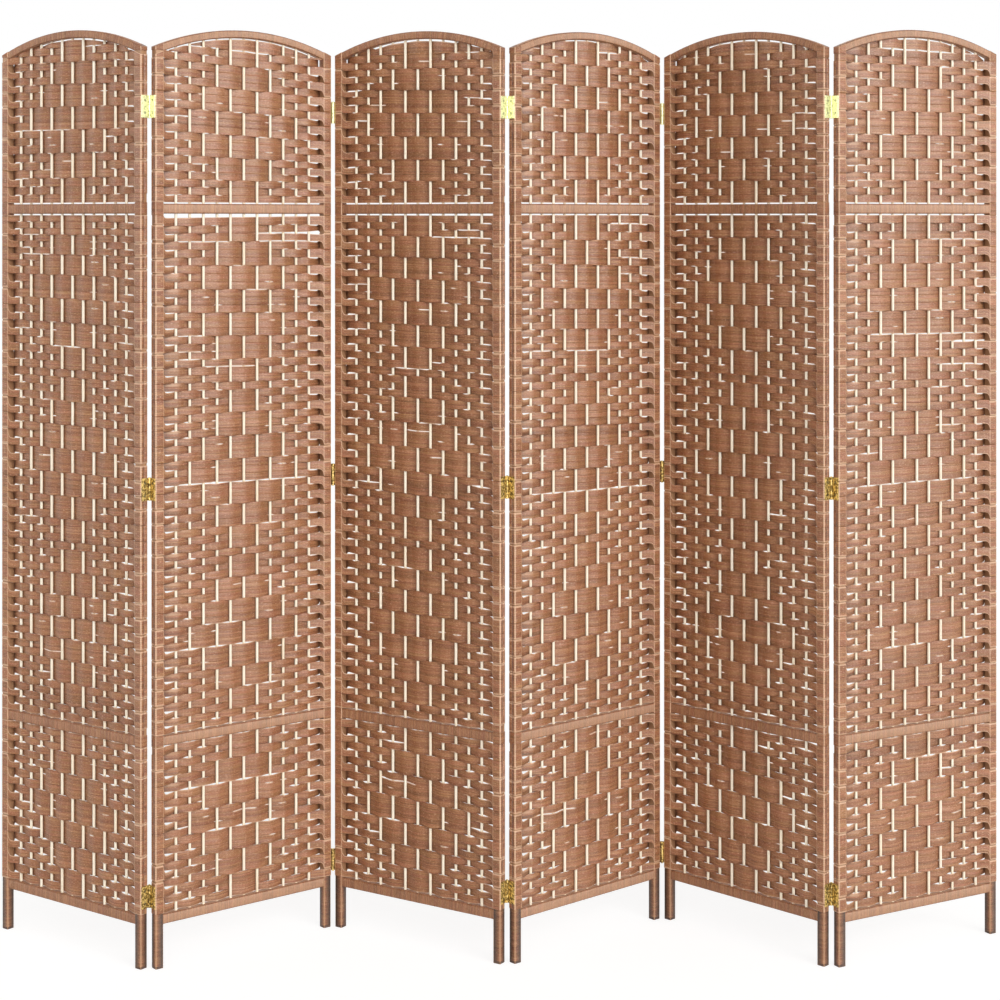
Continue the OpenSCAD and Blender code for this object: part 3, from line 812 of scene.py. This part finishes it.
def rope_material():
    """Brown twisted paper rope: each strand its own tone, with streaks along it, fibres with painted glints
    and a fine lay
    """
    material, tree, shader = new_material("paper_rope")
    along = add(tree, "ShaderNodeAttribute", attribute_name="along").outputs["Fac"]
    across = add(tree, "ShaderNodeAttribute", attribute_name="across").outputs["Fac"]
    strand = maths(tree, "FLOOR", across)
    within = maths(tree, "FRACT", across)
    row = maths(tree, "FLOOR", maths(tree, "DIVIDE", across, float(STRANDS)))
    strand_tone = add(tree, "ShaderNodeTexWhiteNoise", {"W": strand}, noise_dimensions="1D").outputs["Value"]
    row_tone = add(tree, "ShaderNodeTexWhiteNoise", {"W": maths(tree, "ADD", row, 0.37)},
                   noise_dimensions="1D").outputs["Value"]

    def noise(along_scale, across_scale, value, detail):
        where = add(tree, "ShaderNodeCombineXYZ", {
            0: maths(tree, "MULTIPLY", along, along_scale),
            1: maths(tree, "MULTIPLY", value, across_scale)}).outputs[0]
        return add(tree, "ShaderNodeTexNoise", {"Vector": where, "Scale": 1.0, "Detail": detail},
                   noise_dimensions="2D").outputs[0]

    streak = noise(0.05, 5.3, strand, 3.0)
    fibre = noise(0.5, 9.0, across, 4.0)
    tone = maths(tree, "MULTIPLY_ADD", strand_tone, 0.22, maths(tree, "MULTIPLY", row_tone, 0.08))
    tone = maths(tree, "MULTIPLY_ADD", streak, 0.20, tone)
    tone = maths(tree, "MULTIPLY_ADD", maths(tree, "SUBTRACT", fibre, 0.5), 0.56, tone)
    tone = maths(tree, "ADD", tone, 0.195)
    reddish = ramp(tree, tone, [(0.18, (0.16, 0.046, 0.014)), (0.38, (0.29, 0.095, 0.036)),
                                (0.56, (0.42, 0.158, 0.070)), (0.78, (0.62, 0.310, 0.175))])
    sandy = ramp(tree, tone, [(0.18, (0.15, 0.054, 0.012)), (0.38, (0.28, 0.112, 0.034)),
                              (0.56, (0.41, 0.186, 0.068)), (0.78, (0.61, 0.345, 0.170))])
    patch = noise(0.012, 0.45, across, 2.0)
    patch = maths(tree, "MULTIPLY_ADD", maths(tree, "SUBTRACT", patch, 0.5), 3.0, 0.5)
    colour = mix_colours(tree, patch, reddish, sandy)
    # Painted glints on the fibres stand out as short pale flecks
    glint = maths(tree, "MULTIPLY", maths(tree, "SUBTRACT", noise(0.16, 6.1, across, 1.0), 0.61), 9.0)
    glint = maths(tree, "MULTIPLY", maths(tree, "MINIMUM", maths(tree, "MAXIMUM", glint, 0.0), 1.0), 0.65)
    colour = mix_colours(tree, glint, colour, GLINT_COLOUR)
    # Paper that is bent over a corner or frayed is paler, and so are the painted highlights; the feet are
    # darker, and painted shade darkens the crevices, the pockets and the sides of legs and bars
    wear_and_light = add(tree, "ShaderNodeAttribute", attribute_name="wear_and_light").outputs["Fac"]
    pale = maths(tree, "MULTIPLY", maths(tree, "POWER", maths(tree, "MAXIMUM", wear_and_light, 0.0), 1.6),
                 maths(tree, "MULTIPLY_ADD", fibre, 0.7, 0.42))
    colour = mix_colours(tree, pale, colour, FRAYED_AND_HIGHLIGHT_COLOUR)
    # Twist of the rope, painted as a faint shade along it, and the dust and painted shade that sit between two
    # strands
    crest = maths(tree, "MULTIPLY", maths(tree, "MULTIPLY", within, maths(tree, "SUBTRACT", 1.0, within)), 4.0)
    twist = maths(tree, "SINE", maths(tree, "MULTIPLY_ADD", along, 2.4, maths(tree, "MULTIPLY", across, 2.6)))
    shade = maths(tree, "MULTIPLY_ADD", maths(tree, "POWER", crest, 0.5), 0.30, 0.70)
    shade = maths(tree, "MULTIPLY_ADD", twist, 0.03, shade)
    darkening = maths(tree, "MAXIMUM", maths(tree, "MULTIPLY_ADD", wear_and_light, 0.8, 1.0), 0.2)
    darkening = maths(tree, "MINIMUM", darkening, 1.0)
    shade = maths(tree, "MULTIPLY", shade, darkening)
    grey = add(tree, "ShaderNodeCombineColor", {0: shade, 1: shade, 2: shade}).outputs[0]
    colour = mix_colours(tree, 1.0, colour, grey, blend_type="MULTIPLY")
    tree.links.new(colour, shader.inputs["Base Color"])
    rough = maths(tree, "MULTIPLY_ADD", fibre, 0.22, 0.35)
    tree.links.new(rough, shader.inputs["Roughness"])
    height = maths(tree, "MULTIPLY_ADD", twist, 0.35, maths(tree, "MULTIPLY", fibre, 0.9))
    bump = add(tree, "ShaderNodeBump", {"Strength": 0.5, "Distance": 0.0003, "Height": height})
    tree.links.new(bump.outputs[0], shader.inputs["Normal"])
    shader.inputs["Specular IOR Level"].default_value = 0.5
    shader.inputs["Sheen Weight"].default_value = 0.10
    shader.inputs["Sheen Roughness"].default_value = 0.35
    return material


def wood_material(name, stops):
    """Bare wood with a fine upright grain"""
    material, tree, shader = new_material(name)
    where = add(tree, "ShaderNodeTexCoord").outputs["Object"]
    grain_at = add(tree, "ShaderNodeMapping", {"Vector": where, "Scale": (900.0, 900.0, 22.0)}).outputs[0]
    grain = add(tree, "ShaderNodeTexNoise", {"Vector": grain_at, "Scale": 1.0, "Detail": 5.0}).outputs[0]
    patch_at = add(tree, "ShaderNodeMapping", {"Vector": where, "Scale": (45.0, 45.0, 6.0)}).outputs[0]
    patch = add(tree, "ShaderNodeTexNoise", {"Vector": patch_at, "Scale": 1.0, "Detail": 3.0}).outputs[0]
    tone = maths(tree, "MULTIPLY_ADD", patch, 0.5, maths(tree, "MULTIPLY", grain, 0.5))
    colour = ramp(tree, tone, stops)
    tree.links.new(colour, shader.inputs["Base Color"])
    tree.links.new(maths(tree, "MULTIPLY_ADD", grain, 0.2, 0.42), shader.inputs["Roughness"])
    bump = add(tree, "ShaderNodeBump", {"Strength": 0.3, "Distance": 0.0002, "Height": grain})
    tree.links.new(bump.outputs[0], shader.inputs["Normal"])
    return material


def brass_material(name, dark, light, dull, bright):
    """Brass plate with a fine brushed grain and mottled tarnish: dark and light patches low down, and dull
    and bright ones at the top, where a painted reflection makes it paler"""
    material, tree, shader = new_material(name)
    where = add(tree, "ShaderNodeTexCoord").outputs["Object"]
    patch = add(tree, "ShaderNodeTexNoise", {"Vector": where, "Scale": 280.0, "Detail": 3.0}).outputs[0]
    brushed_at = add(tree, "ShaderNodeMapping", {"Vector": where, "Scale": (400.0, 400.0, 3500.0)}).outputs[0]
    brushed = add(tree, "ShaderNodeTexNoise", {"Vector": brushed_at, "Scale": 1.0, "Detail": 3.0}).outputs[0]
    # The top hinges are painted paler than the low ones, a painted reflection that grows towards the top
    height = add(tree, "ShaderNodeSeparateXYZ", {0: where}).outputs[2]
    toward_top = add(tree, "ShaderNodeMapRange", {0: height, 1: 1.1, 2: 1.6, 3: 0.0, 4: 1.0}).outputs[0]
    low_colour = ramp(tree, patch, [(0.42, dark), (0.60, light)])
    top_colour = ramp(tree, patch, [(0.36, dull), (0.50, bright)])
    colour = mix_colours(tree, toward_top, low_colour, top_colour)
    tree.links.new(colour, shader.inputs["Base Color"])
    shader.inputs["Metallic"].default_value = 0.75
    rough = maths(tree, "MULTIPLY_ADD", patch, 0.22, maths(tree, "MULTIPLY_ADD", brushed, 0.12, 0.32))
    tree.links.new(rough, shader.inputs["Roughness"])
    bump = add(tree, "ShaderNodeBump", {"Strength": 0.12, "Distance": 0.0001, "Height": brushed})
    tree.links.new(bump.outputs[0], shader.inputs["Normal"])
    return material


def paint(piece, material):
    piece.data.materials.clear()
    piece.data.materials.append(material)


# ---- Studio ----

# Colour and strength of the world's light. The floor shows a white of strength FLOOR_LIFT, and adds a faint
# grey that takes the object's shadow
AMBIENT_COLOUR = (1.0, 0.975, 0.945, 1)
AMBIENT = 0.50
FLOOR_LIFT = 0.82
FLOOR_SHADE = 0.28
FLOOR_HALF = 30.0
# Names of the lamps, directions to them, strengths, widths in degrees, colours, and whether they only give
# gloss
LAMPS = (
    ("key", (0.67, -0.74, 0.42), 1.46, 36.0, (1.0, 0.985, 0.96), False),
    ("front_fill", (0.10, -1.0, 0.30), 0.82, 50.0, (1.0, 0.98, 0.95), False),
    ("left_fill", (-0.99, -0.06, 0.12), 0.41, 14.0, (0.98, 0.99, 1.0), False),
    ("right_gloss", (0.94, -0.34, 0.20), 1.0, 28.0, (1.0, 1.0, 1.0), True),
    ("front_gloss", (0.47, -0.88, 0.18), 2.5, 22.0, (1.0, 1.0, 1.0), True),
    ("left_gloss", (-0.99, -0.07, 0.12), 0.4, 18.0, (1.0, 1.0, 1.0), True),
)
# From the fit to the photograph: the camera looks level, and its shift brings the screen into the frame
CAMERA_AT = (0.0049, -4.1551, 1.4290)
CAMERA_LENS = 75.642
CAMERA_SHIFT = -0.2804


def white_behind(tree, lit, strength):
    """Whether a ray comes from the camera, a gloss or a transmission, and the plain white that it sees in
    place of the lit shader"""
    path = add(tree, "ShaderNodeLightPath").outputs
    seen = maths(tree, "MAXIMUM", path["Is Camera Ray"],
                 maths(tree, "MAXIMUM", path["Is Glossy Ray"], path["Is Transmission Ray"]))
    white = add(tree, "ShaderNodeEmission" if lit.node.type != "BACKGROUND" else "ShaderNodeBackground",
                {0: (1, 1, 1, 1), 1: strength}).outputs[0]
    return seen, white


def studio():
    world = bpy.data.worlds.new("studio")
    bpy.context.scene.world = world
    world.use_nodes = True
    tree = world.node_tree
    soft = tree.nodes["Background"]
    soft.inputs[0].default_value = AMBIENT_COLOUR
    soft.inputs[1].default_value = AMBIENT
    seen, white = white_behind(tree, soft.outputs[0], 1.0)
    mix = add(tree, "ShaderNodeMixShader", {0: seen, 1: soft.outputs[0], 2: white})
    tree.links.new(mix.outputs[0], tree.nodes["World Output"].inputs[0])

    mesh = bpy.data.meshes.new("floor")
    corners = [(x * FLOOR_HALF, y * FLOOR_HALF, 0) for x, y in ((-1, -1), (1, -1), (1, 1), (-1, 1))]
    mesh.from_pydata(corners, [], [(0, 1, 2, 3)])
    floor = bpy.data.objects.new("floor", mesh)
    bpy.context.scene.collection.objects.link(floor)
    material, tree, shader = new_material("floor_white")
    shader.inputs["Base Color"].default_value = (0.8, 0.8, 0.8, 1)
    shader.inputs["Roughness"].default_value = 0.9
    shader.inputs["Specular IOR Level"].default_value = 0.0
    faint = add(tree, "ShaderNodeBsdfDiffuse", {0: (FLOOR_SHADE, FLOOR_SHADE, FLOOR_SHADE, 1)}).outputs[0]
    seen, white = white_behind(tree, shader.outputs[0], FLOOR_LIFT)
    shown = add(tree, "ShaderNodeAddShader", {0: faint, 1: white}).outputs[0]
    both = add(tree, "ShaderNodeMixShader", {0: seen, 1: shader.outputs[0], 2: shown})
    tree.links.new(both.outputs[0], tree.nodes["Material Output"].inputs[0])
    paint(floor, material)

    for name, aim, strength, angle, colour, gloss_only in LAMPS:
        light = bpy.data.lights.new(name, "SUN")
        light.energy = strength
        light.angle = math.radians(angle)
        light.color = colour
        lamp = bpy.data.objects.new(name, light)
        bpy.context.scene.collection.objects.link(lamp)
        lamp.rotation_euler = Vector(aim).to_track_quat("Z", "Y").to_euler()
        lamp.visible_diffuse = not gloss_only


def camera():
    data = bpy.data.cameras.new("camera")
    data.lens = CAMERA_LENS
    data.sensor_width = 36.0
    data.shift_y = CAMERA_SHIFT
    eye = bpy.data.objects.new("camera", data)
    eye.location = CAMERA_AT
    eye.rotation_euler = (math.radians(90), 0, 0)
    bpy.context.scene.collection.objects.link(eye)
    bpy.context.scene.camera = eye


# ---- Everything together ----

def dress_panel(n, rope):
    rng = np.random.default_rng([SEED, n])
    pieces = [piece for label in SECTIONS for piece in weave_section(n, label)]
    pieces += [post_windings(n, rng), rail_windings(n, rng), arch_winding(n, rng)]
    for piece in pieces:
        paint(piece, rope)
        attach(piece, f"panel_{n}")
        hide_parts(f"panel_{n}_weave")


def dress_cad(wood, stained, brass, screw):
    for name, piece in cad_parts.items():
        if name.endswith("_weave"):
            continue
        if name.endswith(("_leaves", "_pins")):
            paint(piece, brass)
        elif name.endswith("_screws"):
            paint(piece, screw)
        elif name.endswith("_post"):
            paint(piece, stained)
        else:
            paint(piece, wood)


camera()
rope = rope_material()
# The posts' wood has taken the rope's brown under its winding
dress_cad(wood_material("pale_wood", PALE_WOOD), wood_material("stained_wood", STAINED_WOOD),
          brass_material("hinge_brass", *HINGE_BRASS), brass_material("brass_screw", *SCREW_BRASS))
for number in range(1, PANELS + 1):
    dress_panel(number, rope)
studio()
bpy.context.scene.view_settings.view_transform = "Standard"
